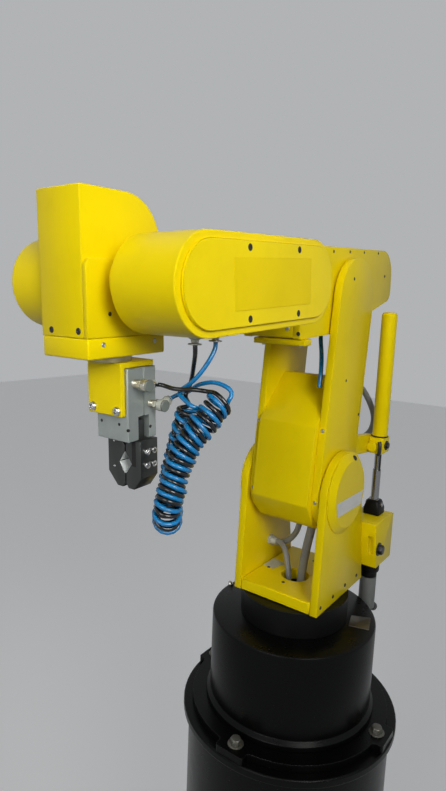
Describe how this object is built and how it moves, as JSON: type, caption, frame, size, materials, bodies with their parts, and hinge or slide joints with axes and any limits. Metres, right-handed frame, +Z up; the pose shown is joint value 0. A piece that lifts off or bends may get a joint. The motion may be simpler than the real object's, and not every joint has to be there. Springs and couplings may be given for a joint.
{
  "type": "robot arm on a pedestal",
  "caption": "Jointed training robot arm on a round pedestal, with a screw-driven shoulder, a forked forearm and a parallel air gripper.",
  "frame": {"origin": "on the floor, on the turntable's turning axis", "axes": "+Z up along the turntable's axis, +X from the elbow towards the wrist, +Y to the side of the wide forearm housing"},
  "size_m": [0.6195, 0.41, 1.4428],
  "materials": {
    "yellow_enamel": "semi-gloss enamel",
    "black_enamel": "semi-gloss enamel",
    "aluminium": "satin anodised",
    "dark_steel": "blackened",
    "chrome": "bright ground",
    "nickelled_brass": "nickel plated",
    "black_plastic": "matte",
    "grey_plastic": "matte",
    "blue_hose": "smooth",
    "black_hose": "smooth"
  },
  "bodies": {
    "base": {"pedestal_foot": "black_enamel", "pedestal_column": "black_enamel", "pedestal_top_plate": "black_enamel", "base_flange": "black_enamel", "base_casting": "black_enamel"},
    "turret": {"turntable": "black_enamel", "bracket_base": "yellow_enamel", "bracket_left_ear": "yellow_enamel", "bracket_right_ear": "yellow_enamel", "shoulder_left_cover": "yellow_enamel", "shoulder_right_cover": "yellow_enamel", "drive_block": "yellow_enamel", "drive_collar": "black_plastic", "drive_motor": "aluminium", "screw_fork": "black_enamel", "motor_cable_thick": "grey_plastic", "motor_cable_thin": "grey_plastic"},
    "screw": {"drive_screw": "chrome"},
    "nut": {"nut_block": "yellow_enamel", "screw_cover_tube": "yellow_enamel"},
    "upper_arm": {"upper_arm_left_plate": "yellow_enamel", "upper_arm_right_plate": "yellow_enamel", "upper_arm_motor_cover": "yellow_enamel", "motor_cable_loop": "grey_plastic"},
    "elbow": {"elbow_left_side_plate": "yellow_enamel", "elbow_right_side_plate": "yellow_enamel", "elbow_housing": "yellow_enamel", "elbow_under_plate": "yellow_enamel", "forearm_bearing_seat": "dark_steel"},
    "forearm": {"forearm_yoke_block": "yellow_enamel", "forearm_left_housing": "yellow_enamel", "forearm_left_side_cover": "yellow_enamel", "forearm_right_housing": "yellow_enamel", "forearm_right_side_cover": "yellow_enamel", "hose_port_front": "nickelled_brass", "hose_port_rear": "nickelled_brass", "hose_coil": "blue_hose", "black_hose_front_port": "black_hose", "blue_hose_rear_port": "blue_hose", "black_hose_to_gripper": "black_hose", "blue_hose_to_gripper": "blue_hose"},
    "hand": {"hand_cover": "yellow_enamel", "hand_block": "yellow_enamel", "hand_ear_plate": "yellow_enamel"},
    "tool": {"tool_flange": "dark_steel", "gripper_angle_bracket": "yellow_enamel", "gripper_body": "aluminium", "air_fitting_upper": "nickelled_brass", "air_fitting_lower": "nickelled_brass"},
    "left_jaw": {"left_finger": "dark_steel", "left_finger_pad": "aluminium"},
    "right_jaw": {"right_finger": "dark_steel", "right_finger_pad": "aluminium"}
  },
  "joints": [
    {"name": "turret_turn", "type": "hinge", "parent": "base", "child": "turret", "pos_m": [0, 0, 0.76], "axis": [0, 0, 1], "range_deg": [-150, 150]},
    {"name": "shoulder_lean", "type": "hinge", "parent": "turret", "child": "upper_arm", "pos_m": [-0.0031, 0, 1.1007], "axis": [0, 1, 0], "range_deg": [-8, 60]},
    {"name": "screw_swing", "type": "hinge", "parent": "turret", "child": "screw", "pos_m": [-0.1235, 0.066, 1.0536], "axis": [0, 1, 0], "range_deg": [-4, 30]},
    {"name": "nut_swing", "type": "hinge", "parent": "upper_arm", "child": "nut", "pos_m": [-0.1235, 0.066, 1.1486], "axis": [0, 1, 0], "range_deg": [-30, 4]},
    {"name": "elbow_lift", "type": "hinge", "parent": "upper_arm", "child": "elbow", "pos_m": [-0.03081, 0, 1.36656], "axis": [0, -1, 0], "range_deg": [-28, 60]},
    {"name": "forearm_roll", "type": "hinge", "parent": "elbow", "child": "forearm", "pos_m": [0.36314, -0.011, 1.36449], "axis": [0.9975, 0, -0.071], "range_deg": [-160, 160]},
    {"name": "wrist_bend", "type": "hinge", "parent": "forearm", "child": "hand", "pos_m": [0.36314, -0.011, 1.36449], "axis": [0, -1, 0], "range_deg": [-25, 115]},
    {"name": "tool_turn", "type": "hinge", "parent": "hand", "child": "tool", "pos_m": [0.36314, -0.011, 1.36449], "axis": [0.0419, 0, 0.9991], "range_deg": [-180, 180]},
    {"name": "left_finger_slide", "type": "slide", "parent": "tool", "child": "left_jaw", "axis": [0, 1, 0], "range_m": [0, 0.005]},
    {"name": "right_finger_slide", "type": "slide", "parent": "tool", "child": "right_jaw", "axis": [0, -1, 0], "range_m": [0, 0.005]}
  ],
  "couplings": [
    {"joint": "screw_swing", "follows": "shoulder_lean", "ratio": 0.5},
    {"joint": "nut_swing", "follows": "shoulder_lean", "ratio": -0.5},
    {"joint": "right_finger_slide", "follows": "left_finger_slide", "ratio": 1}
  ]
}
